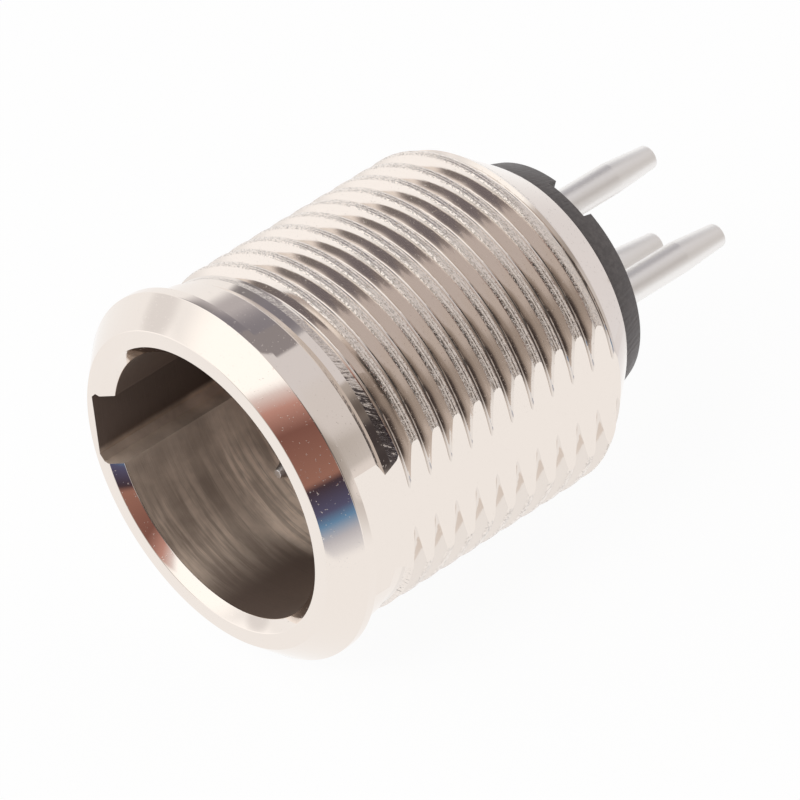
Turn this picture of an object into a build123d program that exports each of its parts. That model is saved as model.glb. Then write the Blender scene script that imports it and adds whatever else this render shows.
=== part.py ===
from build123d import *
import math
import os

# Miniature three-contact panel connector, male, with a threaded barrel.
# Millimetres. The axis is Y: the open mouth faces -Y and the tails of the contacts point to +Y.
# Y = 0 is the seat of the flange, the face that lies on the panel.
# The keyway of the socket is on -X and the flat of the barrel on +X.

# driving sizes of the shell
thread_major_diameter = 10.95
thread_depth = 0.385
flat_from_axis = 5.03
flange_diameter = 11.75
flange_thickness = 1.18
flange_rim_thickness = 0.34
face_outer_diameter = 10.16
bore_diameter = 8.51
mouth_chamfer = 0.315
neck_length = 1.03
relief_depth = 0.19
relief_fall_length = 0.28
relief_floor_length = 0.49
relief_exit_depth = 0.105
relief_exit_length = 0.13
barrel_length = 9.75
barrel_corner_radius = 0.70
lip_length = 2.15
lip_edge_diameter = 7.52
lip_thickness = 0.55
socket_depth = 8.09
pocket_wall_below_root = 0.49
keyway_width = 2.42
keyway_floor_from_axis = 4.77
keyway_corner = 0.18

# driving sizes of the insulator
pocket_clearance = 0.03
lip_clearance = 0.04
boss_diameter = 7.32
boss_height_above_lip = 0.53
boss_notch_depth = 0.33
boss_notch_radial = 0.85
boss_notch_width = 1.50
boss_notch_angle = 69.5

# driving sizes of the contacts
contact_count = 3
contact_diameter = 1.00
contact_grip_diameter = 1.40
contact_circle_diameter = 3.64
contact_recess = 3.25
contact_tip_diameter = 0.28
contact_nose_length = 0.80
contact_nose_fillet = 0.60
tail_length = 4.78
tail_taper_length = 1.60
tail_end_diameter = 0.74

# radii and stations along the axis
thread_radius = thread_major_diameter / 2
flange_radius = flange_diameter / 2
face_outer_radius = face_outer_diameter / 2
bore_radius = bore_diameter / 2
mouth_radius = bore_radius + mouth_chamfer
pocket_radius = thread_radius - thread_depth - pocket_wall_below_root
insulator_radius = pocket_radius - pocket_clearance
lip_edge_radius = lip_edge_diameter / 2
boss_radius = boss_diameter / 2
lip_bore_radius = boss_radius + lip_clearance
contact_radius = contact_diameter / 2
contact_grip_radius = contact_grip_diameter / 2
contact_circle_radius = contact_circle_diameter / 2

front_y = -flange_thickness
shoulder_y = front_y + socket_depth
relief_floor_y = neck_length + relief_fall_length
relief_exit_y = relief_floor_y + relief_floor_length
thread_start_y = relief_exit_y + relief_exit_length
lip_end_y = barrel_length + lip_length
boss_end_y = lip_end_y + boss_height_above_lip
contact_tip_y = front_y + contact_recess
tail_end_y = boss_end_y + tail_length

# the lip is a cone outside and the same cone, one lip thickness deeper, inside
lip_angle = math.atan2(thread_radius - lip_edge_radius, lip_length)
lip_depth_along_axis = lip_thickness / math.sin(lip_angle)


def lip_inside_y(radius):
    """Station at which the inner cone of the lip reaches this radius."""
    outside_y = barrel_length + (thread_radius - radius) / math.tan(lip_angle)
    return outside_y - lip_depth_along_axis


# shell: one turned piece with the flange, the barrel and the lip that is rolled over the insulator
with BuildPart() as shell:
    with BuildSketch(Plane.XY) as shell_profile:
        with BuildLine():
            Polyline(
                (bore_radius, front_y + mouth_chamfer),
                (mouth_radius, front_y),
                (face_outer_radius, front_y),
                (flange_radius, -flange_rim_thickness),
                (flange_radius, 0.0),
                (thread_radius, 0.0),
                (thread_radius, neck_length),
                (thread_radius - relief_depth, relief_floor_y),
                (thread_radius - relief_exit_depth, relief_exit_y),
                (thread_radius, thread_start_y),
                (thread_radius, barrel_length),
                (lip_edge_radius, lip_end_y),
                (lip_bore_radius, lip_end_y),
                (lip_bore_radius, lip_inside_y(lip_bore_radius)),
                (pocket_radius, lip_inside_y(pocket_radius)),
                (pocket_radius, shoulder_y),
                (bore_radius, shoulder_y),
                close=True,
            )
        make_face()
        barrel_corner = shell_profile.vertices().sort_by_distance((thread_radius, barrel_length))[0]
        fillet(barrel_corner, barrel_corner_radius)
    revolve(axis=Axis.Y)
    # flat milled along the barrel, from the seat of the flange to the lip
    with BuildSketch(Plane.XY):
        with Locations((flat_from_axis, 0.0)):
            Rectangle(flange_radius, lip_end_y, align=(Align.MIN, Align.MIN))
    extrude(amount=flange_radius, both=True, mode=Mode.SUBTRACT)
    # keyway from the front face to the shoulder, with its two inner corners bevelled
    with BuildSketch(Plane.XZ.offset(-shoulder_y)) as keyway:
        Rectangle(keyway_floor_from_axis, keyway_width, align=(Align.MAX, Align.CENTER))
        chamfer(keyway.vertices().group_by(Axis.X)[0], keyway_corner)
    extrude(amount=socket_depth, mode=Mode.SUBTRACT)
shell.part.label = "shell"

# insulator: one moulding between the shoulder and the lip, with a boss that stands out of the lip
with BuildPart() as insulator:
    with BuildSketch(Plane.XY):
        with BuildLine():
            Polyline(
                (0.0, shoulder_y),
                (insulator_radius, shoulder_y),
                (insulator_radius, lip_inside_y(insulator_radius)),
                (boss_radius, lip_inside_y(boss_radius)),
                (boss_radius, boss_end_y),
                (0.0, boss_end_y),
                close=True,
            )
        make_face()
    revolve(axis=Axis.Y)
    # notch in the rear edge of the boss
    with BuildSketch(Plane.XZ.offset(-boss_end_y)):
        with Locations(Rotation(0, 0, boss_notch_angle)):
            with Locations((boss_radius - boss_notch_radial, 0.0)):
                Rectangle(boss_radius, boss_notch_width, align=(Align.MIN, Align.CENTER))
    extrude(amount=boss_notch_depth, mode=Mode.SUBTRACT)
    # one hole for the grip of each contact
    with BuildSketch(Plane.XZ.offset(-boss_end_y)):
        with PolarLocations(contact_circle_radius, contact_count):
            Circle(contact_grip_radius)
    extrude(amount=boss_end_y - shoulder_y, mode=Mode.SUBTRACT)
insulator.part.label = "insulator"

os.makedirs("parts", exist_ok=True)
export_step(shell.part, "parts/shell.step")
export_step(insulator.part, "parts/insulator.step")

# contacts: round pins through the insulator, the first one opposite the keyway,
# each with a thicker grip from face to face of the insulator, which holds it there
for number in range(contact_count):
    angle = 2 * math.pi * number / contact_count
    contact_x = contact_circle_radius * math.cos(angle)
    contact_z = contact_circle_radius * math.sin(angle)
    contact_plane = Plane(origin=(contact_x, 0.0, contact_z), x_dir=(1, 0, 0), z_dir=(0, 0, 1))
    with BuildPart() as contact_pin:
        with BuildSketch(contact_plane) as contact_profile:
            with BuildLine():
                Polyline(
                    (0.0, contact_tip_y),
                    (contact_tip_diameter / 2, contact_tip_y),
                    (contact_radius, contact_tip_y + contact_nose_length),
                    (contact_radius, shoulder_y),
                    (contact_grip_radius, shoulder_y),
                    (contact_grip_radius, boss_end_y),
                    (contact_radius, boss_end_y),
                    (contact_radius, tail_end_y - tail_taper_length),
                    (tail_end_diameter / 2, tail_end_y),
                    (0.0, tail_end_y),
                    close=True,
                )
            make_face()
            nose_corner = contact_profile.vertices().sort_by_distance(
                (contact_radius, contact_tip_y + contact_nose_length)
            )[0]
            fillet(nose_corner, contact_nose_fillet)
        revolve(axis=Axis((contact_x, 0.0, contact_z), (0, 1, 0)))
    contact_pin.part.label = f"contact_pin_{number + 1}"
    export_step(contact_pin.part, f"parts/contact_pin_{number + 1}.step")
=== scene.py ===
import math

import bmesh
import bpy
import numpy as np
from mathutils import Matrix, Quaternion, Vector


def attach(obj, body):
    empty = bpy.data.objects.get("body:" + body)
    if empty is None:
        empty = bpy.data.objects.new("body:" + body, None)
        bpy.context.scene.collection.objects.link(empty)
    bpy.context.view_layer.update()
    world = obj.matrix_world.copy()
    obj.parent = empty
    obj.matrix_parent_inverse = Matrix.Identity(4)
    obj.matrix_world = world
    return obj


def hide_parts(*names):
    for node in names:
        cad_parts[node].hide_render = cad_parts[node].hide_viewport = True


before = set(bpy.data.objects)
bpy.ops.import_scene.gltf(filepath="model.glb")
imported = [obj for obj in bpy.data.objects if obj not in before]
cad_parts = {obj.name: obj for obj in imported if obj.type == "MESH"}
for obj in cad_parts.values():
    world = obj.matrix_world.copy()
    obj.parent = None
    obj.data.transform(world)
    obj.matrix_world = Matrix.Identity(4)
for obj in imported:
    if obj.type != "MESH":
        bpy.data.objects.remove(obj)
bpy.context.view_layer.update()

# Miniature three-contact panel connector. Lengths below are millimetres; MM turns them into metres.
# The axis is Y: the open mouth faces -Y and the tails of the contacts point to +Y.
# Angles round the axis are degrees from +X towards +Z.
MM = 0.001

# shell
THREAD_RADIUS = 5.475
THREAD_PITCH = 25.4 / 32
THREAD_GROOVE_HALF_WIDTH = 0.280
THREAD_ROOT_RADIUS = 0.085
FLANK_DEGREES = 30
# worn edge of a crest: distance past the edge of the groove, and depth below the crest
CREST_EDGE = [(-0.023, 0.040), (0.022, 0.012), (0.066, 0.0)]
CREST_SEAM_HALF_WIDTH = 0.028
CREST_SEAM_DEPTH = 0.010
# narrow faces on both sides of the worn edge, which keep the shading of flank and crest flat
FLANK_SUPPORT = 0.006
# a root of the thread crosses this place, and the helix follows from it
FIRST_ROOT_Y = 2.090
FIRST_ROOT_ANGLE = 33.5
# the thread starts this far behind the floor of the relief and runs out this far into the lip
THREAD_RUN_IN = 0.25
THREAD_RUN_OUT = 0.5
FLAT_FROM_AXIS = 5.03
FLANGE_RADIUS = 5.875
FRONT_Y = -1.18
RIM_FRONT_Y = -0.34
FACE_OUTER_RADIUS = 5.08
BORE_RADIUS = 4.255
MOUTH_CHAMFER = 0.315
NECK_END_Y = 1.03
RELIEF_FLOOR_Y = 1.31
RELIEF_FLOOR_RADIUS = THREAD_RADIUS - 0.19
RELIEF_EXIT_Y = 1.80
RELIEF_EXIT_RADIUS = THREAD_RADIUS - 0.105
THREAD_START_Y = 1.93
# the metal is torn from here to the start of the thread
TORN_FROM_Y = 1.52
BARREL_END_Y = 9.75
BARREL_CORNER_RADIUS = 0.70
# the outside of the lip runs towards this end of its cone, and the lip stops at LIP_END_Y
LIP_CONE_END_Y = 11.90
LIP_CONE_END_RADIUS = 3.76
LIP_END_Y = 11.50
LIP_BORE_RADIUS = 3.70
LIP_THICKNESS = 0.55
# behind this distance from the end of the barrel, and down to this depth, the lip is polished
LIP_POLISH_FROM = 0.1
LIP_POLISH_DEPTH = 0.22
SHOULDER_Y = 6.91
POCKET_RADIUS = 4.60
KEYWAY_HALF_WIDTH = 1.21
KEYWAY_FLOOR = 4.77
KEYWAY_CORNER = 0.18
EDGE_ROUNDING = 0.05
# the two rings in the corner between the flange and the neck stay this far apart, or they merge
RING_GAP = 0.001

# insulator
INSULATOR_RADIUS = 4.57
BOSS_RADIUS = 3.66
BOSS_END_Y = 12.43
COLLAR_RADIUS = 4.04
COLLAR_Y = 11.505
COLLAR_END_RADIUS = 3.68
COLLAR_EDGE_ROUNDING = 0.02
BOSS_EDGE_ROUNDING = 0.06
NOTCH_ANGLE = 69.5
NOTCH_HALF_WIDTH = 0.75
NOTCH_DEPTH = 0.33
NOTCH_RADIAL = 0.85

# contacts
CONTACT_COUNT = 3
CONTACT_RADIUS = 0.50
CONTACT_CIRCLE_RADIUS = 1.82
CONTACT_TIP_Y = 2.07
CONTACT_TIP_RADIUS = 0.14
CONTACT_TIP_ROUNDING = 0.03
CONTACT_NOSE_LENGTH = 0.80
TAIL_TAPER_Y = 15.61
TAIL_END_Y = 17.21
TAIL_END_RADIUS = 0.37
TAIL_END_ROUNDING = 0.08
CONTACT_ROUNDING = 0.6
# the contacts stand a little off centre, and behind the boss their tails lean further that way
OFFSET_DIRECTION = -46.5
CONTACT_OFFSET = 0.15
TAIL_LEAN = 0.03

# columns of the meshes round the axis
SHELL_COLUMNS = 320
INSULATOR_COLUMNS = 192
CONTACT_COLUMNS = 64
# steps of the arcs in the outlines
FINE_ARC_STEPS = 8
CONTACT_ARC_STEPS = 6
ROOT_ARC_POINTS = 7
# edges sharper than this stay sharp, in degrees
SHELL_SHARP, INSULATOR_SHARP, CONTACT_SHARP = 20, 30, 35

# a cutter reaches this far past what it cuts
CUTTER_MARGIN = 1.0
FLAT_CUTTER_REACH = 7.0
# points closer than these are one point
MERGE_DISTANCE = 0.0004
THIN_FACE = 0.0002

# metals and their relief
NICKEL = (0.86, 0.785, 0.725)
DULL_NICKEL = (0.80, 0.73, 0.675)
# dark of the torn scratches, which towards the flat also gives painted shade
TORN_NICKEL_AND_PAINTED_SHADE = (0.13, 0.11, 0.11)
# painted shade and painted light of the bore
BORE_PAINTED_SHADE = (0.14, 0.10, 0.08)
BORE_PAINTED_LIGHT = (1.0, 0.82, 0.67)
CONTACT_PLATING = (0.94, 0.92, 0.90)
SPECK_SCALE = 13.0
SPECK_DEPTH = 0.002
SCRATCH_SCALE = 11.0
SCRATCH_DEPTH = 0.030
SCRATCH_SLANT = 0.9
# black moulding
MOULDING_DARK = (0.085, 0.076, 0.076)
MOULDING_LIGHT = (0.130, 0.118, 0.116)
GRAIN_SCALE, GRAIN_DEPTH = 6.0, 0.010
RIB_SCALE, RIB_DEPTH = 9.0, 0.030

# the camera of the photograph, in degrees and millimetres; its clip distances are metres
CAMERA_AZIMUTH = 50.99
CAMERA_ELEVATION = 36.40
CAMERA_ROLL = 6.35
CAMERA_DISTANCE = 201.23
CAMERA_TARGET = (-0.196, 6.371, -1.185)
CAMERA_LENS = 313.24
SENSOR_WIDTH = 36.0
CLIP_START, CLIP_END = 0.01, 10.0

# floor, in millimetres, and the share of it that glows white, so that only a faint shadow stays
FLOOR_HALF_SIZE = 600.0
FLOOR_GAP = 0.01
FLOOR_COLOUR = (0.9, 0.9, 0.9, 1)
FLOOR_GLOW_SHARE = 0.95

# soft lamp: azimuth and elevation in degrees, distance and size in metres, power in watts
LAMP_PLACE = (8, 45)
LAMP_DISTANCE = 0.3
LAMP_SIZE = 0.16
LAMP_POWER = 0.35

# the studio round the object: a white table and tent, and on it, from the first to the last that
# covers it, the patches that the metal reflects:
# azimuth, elevation, inner and outer radius in degrees, colour
TENT_COLOUR = (1.0, 1.0, 1.0)
TENT_PATCHES = {
    "left wall": (-88, 50, 14, 32, (1.20, 1.20, 1.20)),
    "table, far": (180, -15, 20, 40, (0.80, 0.78, 0.79)),
    "ceiling and back": (140, 30, 40, 64, (0.66, 0.63, 0.61)),
    "ceiling over the room": (75, 62, 14, 30, (0.60, 0.55, 0.52)),
    "room": (85, 24, 25, 42, (0.40, 0.36, 0.33)),
    "left front": (-50, -1, 14, 26, (1.18, 1.18, 1.18)),
    "left front, high": (-70, 15, 4, 13, (0.84, 0.83, 0.83)),
    "room in front": (-4, 4, 16, 30, (0.50, 0.46, 0.42)),
    "key light": (-21, 44, 14, 36, (1.24, 1.24, 1.22)),
    "grey gap": (-128, 44, 12, 26, (0.52, 0.50, 0.52)),
    "gap beside the wall": (-107, 41, 8, 18, (0.26, 0.25, 0.26)),
    "dark gap": (-133, 63, 8, 27, (0.24, 0.23, 0.26)),
    "back wall": (150, 58, 23, 25, (0.74, 0.72, 0.73)),
    "back wall, low": (137, 36, 8, 20, (0.72, 0.69, 0.68)),
    "dark gap, edge": (-163, 60, 8, 10, (0.30, 0.28, 0.29)),
    "table edge": (122, 0, 3, 9, (0.84, 0.80, 0.78)),
    "stand, low": (98, 4, 4, 12, (0.06, 0.05, 0.05)),
    "stand": (97, 19, 6, 16, (0.06, 0.05, 0.05)),
    "stand, high": (95, 37, 3, 13, (0.11, 0.09, 0.08)),
    "camera": (51, 36, 14, 24, (0.05, 0.05, 0.05)),
}
# a coloured card in front, on the right: azimuth and elevation of its two ends, its long edges in
# degrees across that line, and its colours by degrees from the first end
CARD_FROM = (10, 33)
CARD_TO = (42, -20)
CARD_LEFT_EDGE, CARD_RIGHT_EDGE = -12, 21
CARD_LOW, CARD_HIGH = -8, 76
CARD_FADE = 6
CARD_COLOURS = [
    (-8, (1.00, 1.00, 1.00)),
    (4, (0.55, 0.30, 0.25)),
    (15, (0.22, 0.10, 0.08)),
    (38, (0.34, 0.17, 0.13)),
    (41, (0.06, 0.04, 0.05)),
    (52, (0.10, 0.10, 0.18)),
    (57, (0.14, 0.28, 0.46)),
    (64, (0.55, 0.55, 0.60)),
    (76, (1.00, 1.00, 1.00)),
]


# geometry

def rounded(corners, steps=3):
    """Outline of (radius, y) points, in which each corner (radius, y, rounding) is a small arc."""
    points = []
    for index, (r, y, rounding) in enumerate(corners):
        corner = np.array((r, y))
        if rounding == 0:
            points.append((r, y))
            continue
        before = np.array(corners[index - 1][:2]) - corner
        after = np.array(corners[index + 1][:2]) - corner
        before = before / np.linalg.norm(before)
        after = after / np.linalg.norm(after)
        half_angle = math.acos(float(np.clip(before @ after, -1, 1))) / 2
        middle = before + after
        centre = corner + middle / np.linalg.norm(middle) * rounding / math.sin(half_angle)
        start = corner + before * rounding / math.tan(half_angle) - centre
        side = math.copysign(1.0, start[0] * after[1] - start[1] * after[0])
        turn = side * (math.pi - 2 * half_angle)
        for step in range(steps + 1):
            c, s = math.cos(turn * step / steps), math.sin(turn * step / steps)
            turned_start = np.array((start[0] * c - start[1] * s, start[0] * s + start[1] * c))
            points.append(tuple(centre + turned_start))
    return points


def new_object(name, bm, materials):
    """Object in metres from a mesh in millimetres."""
    mesh = bpy.data.meshes.new(name)
    bmesh.ops.scale(bm, vec=(MM, MM, MM), verts=bm.verts)
    bm.to_mesh(mesh)
    bm.free()
    for material in materials:
        mesh.materials.append(material)
    obj = bpy.data.objects.new(name, mesh)
    bpy.context.scene.collection.objects.link(obj)
    return obj


def grid_mesh(rows, angles, labels, closed):
    """Mesh of rings round the Y axis. Each row is (radii, stations), one value for each angle."""
    bm = bmesh.new()
    grid = [
        [
            bm.verts.new((r * math.cos(a), y, r * math.sin(a)))
            for r, y, a in zip(radii, stations, angles)
        ]
        for radii, stations in rows
    ]
    count = len(rows) if closed else len(rows) - 1
    for index in range(count):
        low, high = grid[index], grid[(index + 1) % len(rows)]
        for column in range(len(angles) - 1):
            corners = (low[column], high[column], high[column + 1], low[column + 1])
            bm.faces.new(corners).material_index = labels[index]
    bmesh.ops.remove_doubles(bm, verts=bm.verts, dist=MERGE_DISTANCE)
    bmesh.ops.dissolve_degenerate(bm, dist=THIN_FACE, edges=bm.edges)
    bmesh.ops.recalc_face_normals(bm, faces=bm.faces)
    return bm


def turned(outline, columns):
    """Mesh turned round the Y axis from an outline of (radius, y) points from axis to axis."""
    angles = np.linspace(0, 2 * math.pi, columns + 1)
    rows = [(np.full(columns + 1, r), np.full(columns + 1, y)) for r, y in outline]
    return grid_mesh(rows, angles, [0] * len(rows), closed=False)


def prism(name, outline, low_y, high_y, materials, material_index):
    """Straight prism along Y with an outline of (x, z) points."""
    bm = bmesh.new()
    bottom = [bm.verts.new((x, low_y, z)) for x, z in outline]
    top = [bm.verts.new((x, high_y, z)) for x, z in outline]
    bm.faces.new(bottom)
    bm.faces.new(top)
    for index in range(len(outline)):
        after = (index + 1) % len(outline)
        bm.faces.new((bottom[index], bottom[after], top[after], top[index]))
    for face in bm.faces:
        face.material_index = material_index
    bmesh.ops.recalc_face_normals(bm, faces=bm.faces)
    return new_object(name, bm, materials)


def cut(target, cutter):
    """Cuts the cutter's shape out of the target and removes the cutter."""
    modifier = target.modifiers.new("cut", "BOOLEAN")
    modifier.operation = "DIFFERENCE"
    modifier.solver = "EXACT"
    modifier.object = cutter
    depsgraph = bpy.context.evaluated_depsgraph_get()
    mesh = bpy.data.meshes.new_from_object(target.evaluated_get(depsgraph))
    target.modifiers.clear()
    target.data = mesh
    bpy.data.objects.remove(cutter)


def shade(obj, sharp_degrees):
    """Smooth faces with sharp edges, and normals that follow the large faces."""
    mesh = obj.data
    mesh.polygons.foreach_set("use_smooth", [True] * len(mesh.polygons))
    mesh.set_sharp_from_angle(angle=math.radians(sharp_degrees))
    weighted = obj.modifiers.new("weighted_normals", "WEIGHTED_NORMAL")
    weighted.keep_sharp = True


def dress(obj, slot, *nodes):
    """The object stands for these CAD nodes and rides on the one body."""
    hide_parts(*nodes)
    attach(obj, "root")


# materials

class Nodes:
    """Short form of a node tree: every method adds one node and returns its output."""

    def __init__(self, tree):
        self.tree = tree
        tree.nodes.clear()

    def add(self, kind, inputs=None, **settings):
        node = self.tree.nodes.new(kind)
        for key, value in settings.items():
            setattr(node, key, value)
        for key, value in (inputs or {}).items():
            if isinstance(value, bpy.types.NodeSocket):
                self.tree.links.new(value, node.inputs[key])
            else:
                node.inputs[key].default_value = value
        return node

    def math(self, operation, *values):
        return self.add("ShaderNodeMath", dict(enumerate(values)), operation=operation).outputs[0]

    def vector_math(self, operation, *values, output=0):
        node = self.add("ShaderNodeVectorMath", dict(enumerate(values)), operation=operation)
        return node.outputs[output]

    def ramp(self, value, low, high, start=0.0, end=1.0, smooth=True):
        """Value mapped from low..high to start..end and held there outside."""
        kind = "SMOOTHSTEP" if smooth else "LINEAR"
        names = {"Value": value, "From Min": low, "From Max": high, "To Min": start, "To Max": end}
        return self.add("ShaderNodeMapRange", names, interpolation_type=kind).outputs[0]

    def mix(self, share, first, second):
        node = self.add("ShaderNodeMix", data_type="RGBA")
        for socket, value in ((0, share), (6, first), (7, second)):
            if isinstance(value, bpy.types.NodeSocket):
                self.tree.links.new(value, node.inputs[socket])
            elif socket == 0:
                node.inputs[socket].default_value = value
            else:
                node.inputs[socket].default_value = (*value, 1)
        return node.outputs[2]

    def noise(self, vector, scale, detail=2.0, roughness=0.5):
        names = {"Vector": vector, "Scale": scale, "Detail": detail, "Roughness": roughness}
        return self.add("ShaderNodeTexNoise", names).outputs["Fac"]

    def bump(self, height, depth, normal=None):
        """Surface raised by height times depth, in millimetres."""
        names = {"Height": height, "Distance": depth * MM, "Strength": 1.0}
        if normal:
            names["Normal"] = normal
        return self.add("ShaderNodeBump", names).outputs[0]


def object_millimetres(n):
    """Place on the object in millimetres."""
    place = n.add("ShaderNodeTexCoord").outputs["Object"]
    return n.add("ShaderNodeVectorMath", {0: place, "Scale": 1 / MM}, operation="SCALE").outputs[0]


def cylinder_place(n, radius):
    """Place as (arc length round the axis, y, radius), so that a texture follows the turning."""
    x, y, z = n.add("ShaderNodeSeparateXYZ", {0: object_millimetres(n)}).outputs
    arc = n.math("MULTIPLY", n.math("ARCTAN2", z, x), radius)
    r = n.math("SQRT", n.math("ADD", n.math("MULTIPLY", x, x), n.math("MULTIPLY", z, z)))
    return arc, y, r


def stretched(n, arc, y, r, arc_share):
    """Place whose texture is drawn out round the axis where arc_share is under one."""
    shorter = n.math("MULTIPLY", arc, arc_share)
    return n.add("ShaderNodeCombineXYZ", {0: shorter, 1: y, 2: r}).outputs[0]


def metal(name, colour, roughness, relief):
    """Metal whose fine relief comes from relief(n), which returns the bumped normal."""
    material = bpy.data.materials.new(name)
    material.use_nodes = True
    n = Nodes(material.node_tree)
    shader = n.add("ShaderNodeBsdfPrincipled", {
        "Base Color": (*colour, 1), "Metallic": 1.0, "Roughness": roughness,
    })
    n.tree.links.new(relief(n), shader.inputs["Normal"])
    n.add("ShaderNodeOutputMaterial", {0: shader.outputs[0]})
    return material


def turned_relief(depth, lines=14.0, along=0.04):
    """Fine turning lines round the axis, with a few specks."""
    def relief(n):
        arc, y, r = cylinder_place(n, THREAD_RADIUS)
        lines_height = n.noise(stretched(n, arc, y, r, along), lines, 3.0, 0.6)
        specks = n.ramp(n.noise(object_millimetres(n), SPECK_SCALE), 0.68, 0.74)
        return n.bump(specks, SPECK_DEPTH, n.bump(lines_height, depth))
    return relief


def pitted_relief(depth, scale, stretch, pits):
    """Worn metal with pits, as on the crests of the thread."""
    def relief(n):
        arc, y, r = cylinder_place(n, THREAD_RADIUS)
        place = stretched(n, arc, y, r, stretch)
        coarse = n.noise(place, scale, 3.0, 0.65)
        deep = n.ramp(n.noise(place, scale * 1.3), 0.38, 0.48)
        return n.bump(deep, pits, n.bump(coarse, depth))
    return relief


def torn_metal():
    """Turned metal torn in slanting scratches, with painted shade that is darkest just above the
    flat.
    """
    material = bpy.data.materials.new("nickel_torn")
    material.use_nodes = True
    n = Nodes(material.node_tree)
    arc, y, _ = cylinder_place(n, THREAD_RADIUS)
    slant = n.add("ShaderNodeCombineXYZ", {
        0: n.math("ADD", arc, n.math("MULTIPLY", y, SCRATCH_SLANT)),
        1: n.math("MULTIPLY", n.math("SUBTRACT", y, arc), 0.15),
    }).outputs[0]
    scratches = n.noise(slant, SCRATCH_SCALE, 3.0, 0.7)
    # painted shade: the scratches darken by angle round the axis, most just above the flat
    turn = n.math("DIVIDE", arc, THREAD_RADIUS)
    above_flat = n.ramp(turn, 0.0, math.radians(15))
    near_flat = n.ramp(turn, math.radians(30), math.radians(62), 1.0, 0.0)
    painted_shade_share = n.math("MULTIPLY", above_flat, near_flat)
    dark_below = n.ramp(painted_shade_share, 0.0, 1.0, 0.30, 0.56, smooth=False)
    bright_above = n.math("ADD", dark_below, 0.10)
    colour = n.mix(n.ramp(scratches, dark_below, bright_above), TORN_NICKEL_AND_PAINTED_SHADE, NICKEL)
    shader = n.add("ShaderNodeBsdfPrincipled", {"Metallic": 1.0, "Roughness": 0.18})
    n.tree.links.new(colour, shader.inputs["Base Color"])
    n.tree.links.new(n.bump(scratches, SCRATCH_DEPTH), shader.inputs["Normal"])
    n.add("ShaderNodeOutputMaterial", {0: shader.outputs[0]})
    return material


def bore_metal():
    """Turned bore, with painted shade round the keyway, at its lower side and near the mouth, and
    painted light on the wall between, strongest deeper in.

    Its turning marks spread the light along the axis.
    """
    material = bpy.data.materials.new("nickel_bore")
    material.use_nodes = True
    n = Nodes(material.node_tree)
    x, y, z = n.add("ShaderNodeSeparateXYZ", {0: object_millimetres(n)}).outputs
    # angle from the keyway downwards
    turn = n.math("ARCTAN2", n.math("MULTIPLY", z, -1.0), n.math("MULTIPLY", x, -1.0))
    # painted light on the wall below the keyway, deeper in; painted shade at the keyway, the bottom
    # and the mouth
    deep = n.ramp(y, 1.8, 2.6)
    below_keyway = n.ramp(turn, math.radians(9), math.radians(12))
    shifted = n.math("SUBTRACT", turn, n.math("MULTIPLY", deep, 0.25))
    above_bottom = n.ramp(shifted, 1.05, 1.6, 1.0, 0.0)
    depth_share = n.ramp(deep, 0.0, 1.0, 0.62, 1.0)
    painted_light_share = n.math("MULTIPLY", below_keyway, n.math("MULTIPLY", above_bottom, depth_share))
    # rings of turning marks, lighter and darker, which on the lit wall are also painted highlight
    # arcs
    arc, along, r = cylinder_place(n, BORE_RADIUS)
    turning_marks = n.noise(stretched(n, arc, along, r, 0.07), 2.6, 4.0, 0.7)
    rings = n.ramp(turning_marks, 0.42, 0.58, 0.66, 1.22)
    # the rings fade out towards the keyway
    rings = n.ramp(turn, math.radians(20), math.radians(45), 0.9, rings)
    painted_light_share = n.math("MULTIPLY", painted_light_share, rings)
    blotches = n.ramp(n.noise(object_millimetres(n), 0.9, 3.0, 0.6), 0.3, 0.7, 0.65, 1.0)
    colour = n.mix(n.math("MULTIPLY", painted_light_share, blotches), BORE_PAINTED_SHADE, BORE_PAINTED_LIGHT)
    shader = n.add("ShaderNodeBsdfPrincipled", {
        "Base Color": colour, "Metallic": 0.4, "Roughness": 0.42, "Anisotropic": 0.85,
        "Anisotropic Rotation": 0.25,
        "Tangent": n.add("ShaderNodeTangent", direction_type="RADIAL", axis="Y").outputs[0],
        "Normal": turned_relief(0.012, 4.5, 0.06)(n),
    })
    n.add("ShaderNodeOutputMaterial", {0: shader.outputs[0]})
    return material


def nickel_materials():
    return [
        metal("nickel_polished", NICKEL, 0.06, turned_relief(0.0004)),
        metal("nickel_flank", DULL_NICKEL, 0.10, turned_relief(0.0006)),
        metal("nickel_crest", NICKEL, 0.14, pitted_relief(0.014, 12.0, 0.7, 0.032)),
        torn_metal(),
        bore_metal(),
        metal("nickel_flat", NICKEL, 0.10, turned_relief(0.0002)),
    ]


POLISHED, FLANK, CREST, TORN, BORE, FLAT = range(6)


# shell

def lip_radius(y):
    """Radius of the outside of the rolled lip."""
    slope = (THREAD_RADIUS - LIP_CONE_END_RADIUS) / (LIP_CONE_END_Y - BARREL_END_Y)
    return THREAD_RADIUS - (y - BARREL_END_Y) * slope


def barrel_outline():
    """Outer outline of the barrel without its thread, from the seat of the flange to the lip."""
    return rounded([
        (THREAD_RADIUS, 0.0, 0),
        (THREAD_RADIUS, NECK_END_Y, EDGE_ROUNDING),
        (RELIEF_FLOOR_RADIUS, RELIEF_FLOOR_Y, 0),
        (RELIEF_EXIT_RADIUS, RELIEF_EXIT_Y, 0),
        (THREAD_RADIUS, THREAD_START_Y, 0),
        (THREAD_RADIUS, BARREL_END_Y, BARREL_CORNER_RADIUS),
        (lip_radius(LIP_END_Y), LIP_END_Y, 0),
    ], steps=FINE_ARC_STEPS)


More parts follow.
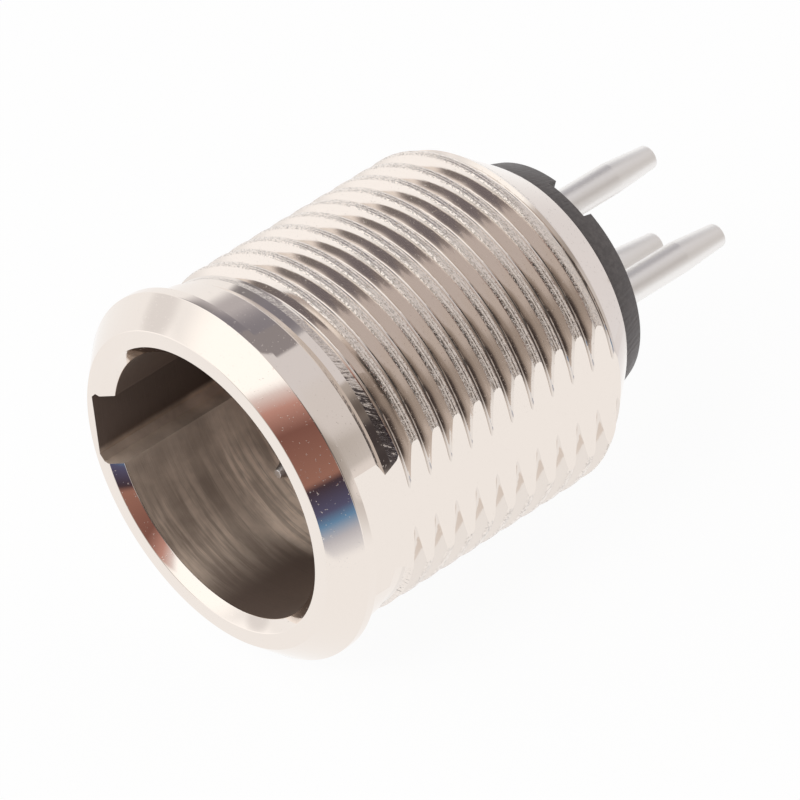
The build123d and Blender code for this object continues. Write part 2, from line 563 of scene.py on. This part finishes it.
def front_outline():
    """Outline from the shoulder in the socket, round the mouth and the flange, to the seat."""
    mouth_radius = BORE_RADIUS + MOUTH_CHAMFER
    return rounded([
        (BORE_RADIUS, SHOULDER_Y, 0),
        (BORE_RADIUS, FRONT_Y + MOUTH_CHAMFER, EDGE_ROUNDING),
        (mouth_radius, FRONT_Y, EDGE_ROUNDING),
        (FACE_OUTER_RADIUS, FRONT_Y, EDGE_ROUNDING),
        (FLANGE_RADIUS, RIM_FRONT_Y, EDGE_ROUNDING),
        (FLANGE_RADIUS, 0.0, EDGE_ROUNDING),
        (THREAD_RADIUS + RING_GAP, 0.0, 0),
    ])


def rear_outline():
    """Outline from the end of the lip, along its inner cone and the pocket, to the shoulder."""
    lip_angle = math.atan2(THREAD_RADIUS - LIP_CONE_END_RADIUS, LIP_CONE_END_Y - BARREL_END_Y)
    depth = LIP_THICKNESS / math.sin(lip_angle)

    def inside_y(radius):
        return BARREL_END_Y + (THREAD_RADIUS - radius) / math.tan(lip_angle) - depth

    return [
        (LIP_BORE_RADIUS, LIP_END_Y),
        (LIP_BORE_RADIUS, inside_y(LIP_BORE_RADIUS)),
        (POCKET_RADIUS, inside_y(POCKET_RADIUS)),
        (POCKET_RADIUS, SHOULDER_Y),
    ]


def thread_section():
    """Groove and crest of one pitch: (offset from the root, depth, material of the next face)."""
    slope = math.tan(math.radians(FLANK_DEGREES))
    edge = THREAD_GROOVE_HALF_WIDTH
    centre = edge / slope - THREAD_ROOT_RADIUS / math.sin(math.radians(FLANK_DEGREES))
    root = [
        (THREAD_ROOT_RADIUS * math.sin(a), centre + THREAD_ROOT_RADIUS * math.cos(a), FLANK)
        for a in np.radians(np.linspace(FLANK_DEGREES - 90, 90 - FLANK_DEGREES, ROOT_ARC_POINTS))
    ]
    half = (edge + root[-1][0]) / 2
    middle = (half, (edge - half) / slope, FLANK)
    worn_edge = [(edge + offset, depth, CREST) for offset, depth in CREST_EDGE]
    low_edge, high_edge = worn_edge[0], worn_edge[-1]
    support = (low_edge[0] - FLANK_SUPPORT * slope, low_edge[1] + FLANK_SUPPORT, FLANK)
    crest_support = (high_edge[0] + FLANK_SUPPORT, 0.0, CREST)
    rear = [support, *worn_edge, crest_support]
    front = [(-offset, depth, CREST) for offset, depth, _ in reversed(rear)]
    front[-2:] = [(offset, depth, FLANK) for offset, depth, _ in front[-2:]]
    seam = THREAD_PITCH / 2 - CREST_SEAM_HALF_WIDTH
    crest_middle = [(seam, 0.0, CREST), (THREAD_PITCH / 2, CREST_SEAM_DEPTH, CREST)]
    front_flank = [(-seam, 0.0, CREST), *front, (-middle[0], middle[1], FLANK)]
    return [*front_flank, *root, middle, *rear, *crest_middle]


def smooth_step(x, low, high):
    t = np.clip((x - low) / (high - low), 0, 1)
    return t * t * (3 - 2 * t)


def threaded_shell(materials):
    """Closed mesh of the shell, of which the rings on the thread run along its right-hand helix."""
    angles = np.linspace(0, 2 * math.pi, SHELL_COLUMNS + 1)
    lead = -(angles - math.radians(FIRST_ROOT_ANGLE)) / (2 * math.pi) * THREAD_PITCH
    barrel = barrel_outline()
    barrel_radii = [r for r, y in barrel]
    barrel_stations = [y for r, y in barrel]
    helix_low, helix_high = RELIEF_FLOOR_Y + THREAD_RUN_IN, BARREL_END_Y + THREAD_RUN_OUT
    rows, labels = [], []

    def ring(r, y, label):
        rows.append((np.full(SHELL_COLUMNS + 1, r), np.full(SHELL_COLUMNS + 1, y)))
        labels.append(label)

    for index, (r, y) in enumerate(front_outline()):
        ring(r, y, BORE if index == 0 else POLISHED)
    for r, y in barrel:
        if y < helix_low:
            ring(r, y, POLISHED)
    first_turn = math.floor((helix_low - FIRST_ROOT_Y - lead.max()) / THREAD_PITCH) - 1
    last_turn = math.ceil((helix_high - FIRST_ROOT_Y - lead.min()) / THREAD_PITCH) + 1
    for turn in range(first_turn, last_turn):
        for offset, depth, label in thread_section():
            station = FIRST_ROOT_Y + turn * THREAD_PITCH + offset
            y = np.clip(station + lead, helix_low, helix_high)
            plain = np.interp(y, barrel_stations, barrel_radii)
            threaded = THREAD_RADIUS - depth * smooth_step(y, helix_low, THREAD_START_Y)
            inside = (y > helix_low) & (y < helix_high)
            rows.append((np.where(inside, np.minimum(plain, threaded), plain), y))
            labels.append(label)
    labels[-1] = POLISHED
    for r, y in barrel:
        if y > helix_high:
            ring(r, y, POLISHED)
    for r, y in rear_outline():
        ring(r, y, BORE)

    bm = grid_mesh(rows, angles, labels, closed=True)
    for face in bm.faces:
        centre = face.calc_center_median()
        radius = math.hypot(centre.x, centre.z)
        if face.material_index == CREST and centre.y < THREAD_START_Y:
            face.material_index = TORN if centre.y > TORN_FROM_Y else POLISHED
        on_lip = centre.y > BARREL_END_Y + LIP_POLISH_FROM
        if on_lip and radius > THREAD_RADIUS - LIP_POLISH_DEPTH:
            face.material_index = POLISHED
    return new_object("shell_turned", bm, materials)


def build_shell():
    materials = nickel_materials()
    shell = threaded_shell(materials)
    reach = FLAT_CUTTER_REACH
    flat = [(FLAT_FROM_AXIS, -reach), (reach, -reach), (reach, reach), (FLAT_FROM_AXIS, reach)]
    cut(shell, prism("flat_cutter", flat, 0.0, LIP_END_Y + CUTTER_MARGIN, materials, FLAT))
    inner = BORE_RADIUS - CUTTER_MARGIN
    bevelled = KEYWAY_FLOOR - KEYWAY_CORNER
    keyway = [
        (-inner, -KEYWAY_HALF_WIDTH),
        (-bevelled, -KEYWAY_HALF_WIDTH),
        (-KEYWAY_FLOOR, -KEYWAY_HALF_WIDTH + KEYWAY_CORNER),
        (-KEYWAY_FLOOR, KEYWAY_HALF_WIDTH - KEYWAY_CORNER),
        (-bevelled, KEYWAY_HALF_WIDTH),
        (-inner, KEYWAY_HALF_WIDTH),
    ]
    keyway_from = FRONT_Y - CUTTER_MARGIN
    cut(shell, prism("keyway_cutter", keyway, keyway_from, SHOULDER_Y, materials, BORE))
    shade(shell, SHELL_SHARP)
    dress(shell, "nickel_plated_shell", "shell")


# insulator

def moulding_material():
    material = bpy.data.materials.new("black_moulding")
    material.use_nodes = True
    n = Nodes(material.node_tree)
    place = object_millimetres(n)
    arc, y, _ = cylinder_place(n, BOSS_RADIUS)
    along_ribs = n.add("ShaderNodeCombineXYZ", {0: arc, 1: n.math("MULTIPLY", y, 0.12)})
    ribs = n.noise(along_ribs.outputs[0], RIB_SCALE)
    grain = n.noise(place, GRAIN_SCALE, 4.0, 0.6)
    roughness = n.ramp(grain, 0.3, 0.7, 0.42, 0.6)
    shader = n.add("ShaderNodeBsdfPrincipled", {"Roughness": roughness})
    colour = n.mix(n.ramp(grain, 0.35, 0.7), MOULDING_DARK, MOULDING_LIGHT)
    n.tree.links.new(colour, shader.inputs["Base Color"])
    relief = n.bump(grain, GRAIN_DEPTH, n.bump(ribs, RIB_DEPTH))
    n.tree.links.new(relief, shader.inputs["Normal"])
    n.add("ShaderNodeOutputMaterial", {0: shader.outputs[0]})
    return material


def build_insulator():
    materials = [moulding_material()]
    outline = rounded([
        (0.0, SHOULDER_Y, 0),
        (INSULATOR_RADIUS, SHOULDER_Y, 0),
        (INSULATOR_RADIUS, BARREL_END_Y, 0),
        (BOSS_RADIUS, BARREL_END_Y, 0),
        (BOSS_RADIUS, COLLAR_Y, 0),
        (COLLAR_RADIUS, COLLAR_Y, COLLAR_EDGE_ROUNDING),
        (COLLAR_END_RADIUS, BOSS_END_Y, BOSS_EDGE_ROUNDING),
        (0.0, BOSS_END_Y, 0),
    ])
    insulator = new_object("insulator_moulding", turned(outline, INSULATOR_COLUMNS), materials)
    angle = math.radians(NOTCH_ANGLE)
    along = Vector((math.cos(angle), math.sin(angle)))
    across = Vector((-along.y, along.x))
    inner, outer = BOSS_RADIUS - NOTCH_RADIAL, BOSS_RADIUS + CUTTER_MARGIN
    corners = [
        along * inner - across * NOTCH_HALF_WIDTH,
        along * outer - across * NOTCH_HALF_WIDTH,
        along * outer + across * NOTCH_HALF_WIDTH,
        along * inner + across * NOTCH_HALF_WIDTH,
    ]
    low, high = BOSS_END_Y - NOTCH_DEPTH, BOSS_END_Y + CUTTER_MARGIN
    cut(insulator, prism("notch_cutter", corners, low, high, materials, 0))
    shade(insulator, INSULATOR_SHARP)
    dress(insulator, "black_moulding", "insulator")


# contacts

def build_contacts():
    material = metal("plated_contact", CONTACT_PLATING, 0.38, turned_relief(0.0012))
    outline = rounded([
        (0.0, CONTACT_TIP_Y, 0),
        (CONTACT_TIP_RADIUS, CONTACT_TIP_Y, CONTACT_TIP_ROUNDING),
        (CONTACT_RADIUS, CONTACT_TIP_Y + CONTACT_NOSE_LENGTH, CONTACT_ROUNDING),
        (CONTACT_RADIUS, TAIL_TAPER_Y, CONTACT_ROUNDING),
        (TAIL_END_RADIUS, TAIL_END_Y, TAIL_END_ROUNDING),
        (0.0, TAIL_END_Y, 0),
    ], steps=CONTACT_ARC_STEPS)
    aside = math.radians(OFFSET_DIRECTION)
    for number in range(CONTACT_COUNT):
        angle = 2 * math.pi * number / CONTACT_COUNT
        bm = turned(outline, CONTACT_COLUMNS)
        x, z = CONTACT_CIRCLE_RADIUS * math.cos(angle), CONTACT_CIRCLE_RADIUS * math.sin(angle)
        for vertex in bm.verts:
            lean = CONTACT_OFFSET + TAIL_LEAN * max(0.0, vertex.co.y - BOSS_END_Y)
            vertex.co += Vector((x + lean * math.cos(aside), 0, z + lean * math.sin(aside)))
        contact = new_object(f"contact_{number + 1}", bm, [material])
        shade(contact, CONTACT_SHARP)
        dress(contact, "plated_contact", f"contact_pin_{number + 1}")


# studio

def direction(azimuth, elevation):
    """Unit vector from the object towards a place in the studio."""
    a, e = math.radians(azimuth), math.radians(elevation)
    return Vector((math.sin(a) * math.cos(e), -math.cos(a) * math.cos(e), math.sin(e)))


def card(n, towards, colour):
    """Lays the coloured card over this colour of the surroundings."""
    start, end = direction(*CARD_FROM), direction(*CARD_TO)
    across_axis = start.cross(end).normalized()
    along_axis = across_axis.cross(start)
    forward = n.vector_math("DOT_PRODUCT", towards, start, output=1)
    sideways = n.vector_math("DOT_PRODUCT", towards, along_axis, output=1)
    angle = n.math("MULTIPLY", n.math("ARCTAN2", sideways, forward), math.degrees(1))
    across = n.vector_math("DOT_PRODUCT", towards, across_axis, output=1)
    left = math.sin(math.radians(CARD_LEFT_EDGE))
    right = math.sin(math.radians(CARD_RIGHT_EDGE))
    share = n.ramp(across, right * 0.9, right * 1.1, 1.0, 0.0)
    share = n.math("MULTIPLY", share, n.ramp(across, left * 1.1, left * 0.85))
    share = n.math("MULTIPLY", share, n.ramp(angle, CARD_LOW, CARD_LOW + CARD_FADE))
    share = n.math("MULTIPLY", share, n.ramp(angle, CARD_HIGH - CARD_FADE, CARD_HIGH, 1.0, 0.0))
    place_on_card = n.ramp(angle, CARD_LOW, CARD_HIGH, smooth=False)
    stops = n.add("ShaderNodeValToRGB", {"Fac": place_on_card})
    elements = stops.color_ramp.elements
    while len(elements) < len(CARD_COLOURS):
        elements.new(1.0)
    for element, (place, stop) in zip(elements, CARD_COLOURS):
        element.position = (place - CARD_LOW) / (CARD_HIGH - CARD_LOW)
        element.color = (*stop, 1)
    return n.mix(share, colour, stops.outputs["Color"])


def build_world():
    """A white tent with the patches that the metal reflects. The camera sees plain white."""
    world = bpy.data.worlds.new("tent")
    bpy.context.scene.world = world
    world.use_nodes = True
    n = Nodes(world.node_tree)
    towards = n.add("ShaderNodeTexCoord").outputs["Generated"]
    colour = TENT_COLOUR
    for azimuth, elevation, inner, outer, patch in TENT_PATCHES.values():
        middle = direction(azimuth, elevation)
        nearness = n.vector_math("DOT_PRODUCT", towards, middle, output=1)
        share = n.ramp(nearness, math.cos(math.radians(outer)), math.cos(math.radians(inner)))
        colour = n.mix(share, colour, patch)
    colour = card(n, towards, colour)
    tent = n.add("ShaderNodeBackground", {"Color": colour})
    white = n.add("ShaderNodeBackground", {"Color": (1, 1, 1, 1)})
    camera_ray = n.add("ShaderNodeLightPath").outputs["Is Camera Ray"]
    both = n.add("ShaderNodeMixShader", {0: camera_ray, 1: tent.outputs[0], 2: white.outputs[0]})
    n.add("ShaderNodeOutputWorld", {0: both.outputs[0]})


def build_floor():
    """Plain white floor with a faint shadow. In its place the metal reflects the tent."""
    bm = bmesh.new()
    size = FLOOR_HALF_SIZE
    corners = [(-size, -size), (size, -size), (size, size), (-size, size)]
    bm.faces.new([bm.verts.new((x, y, -FLANGE_RADIUS - FLOOR_GAP)) for x, y in corners])
    material = bpy.data.materials.new("white_floor")
    material.use_nodes = True
    n = Nodes(material.node_tree)
    matt = n.add("ShaderNodeBsdfDiffuse", {"Color": FLOOR_COLOUR})
    glow = n.add("ShaderNodeEmission", {"Color": (1, 1, 1, 1), "Strength": 1.0})
    shares = {0: FLOOR_GLOW_SHARE, 1: matt.outputs[0], 2: glow.outputs[0]}
    both = n.add("ShaderNodeMixShader", shares)
    n.add("ShaderNodeOutputMaterial", {0: both.outputs[0]})
    floor = new_object("floor", bm, [material])
    floor.visible_glossy = False


def build_lamp():
    """One soft lamp before the mouth. It lights the bore and the moulding; no metal mirrors it."""
    data = bpy.data.lights.new("softbox", "AREA")
    data.shape = "DISK"
    data.size = LAMP_SIZE
    data.energy = LAMP_POWER
    lamp = bpy.data.objects.new("softbox", data)
    bpy.context.scene.collection.objects.link(lamp)
    towards = direction(*LAMP_PLACE)
    lamp.location = towards * LAMP_DISTANCE
    lamp.rotation_mode = "QUATERNION"
    lamp.rotation_quaternion = (-towards).to_track_quat("-Z", "Y")
    lamp.visible_glossy = False
    lamp.visible_camera = False


def place_camera():
    back = direction(CAMERA_AZIMUTH, CAMERA_ELEVATION)
    data = bpy.data.cameras.new("camera")
    data.lens = CAMERA_LENS
    data.sensor_width = SENSOR_WIDTH
    data.clip_start = CLIP_START
    data.clip_end = CLIP_END
    camera = bpy.data.objects.new("camera", data)
    bpy.context.scene.collection.objects.link(camera)
    camera.location = (Vector(CAMERA_TARGET) + back * CAMERA_DISTANCE) * MM
    camera.rotation_mode = "QUATERNION"
    upright = (-back).to_track_quat("-Z", "Y")
    camera.rotation_quaternion = Quaternion(back, math.radians(-CAMERA_ROLL)) @ upright
    bpy.context.scene.camera = camera


build_shell()
build_insulator()
build_contacts()
build_world()
build_floor()
build_lamp()
place_camera()
bpy.context.scene.view_settings.view_transform = "Standard"
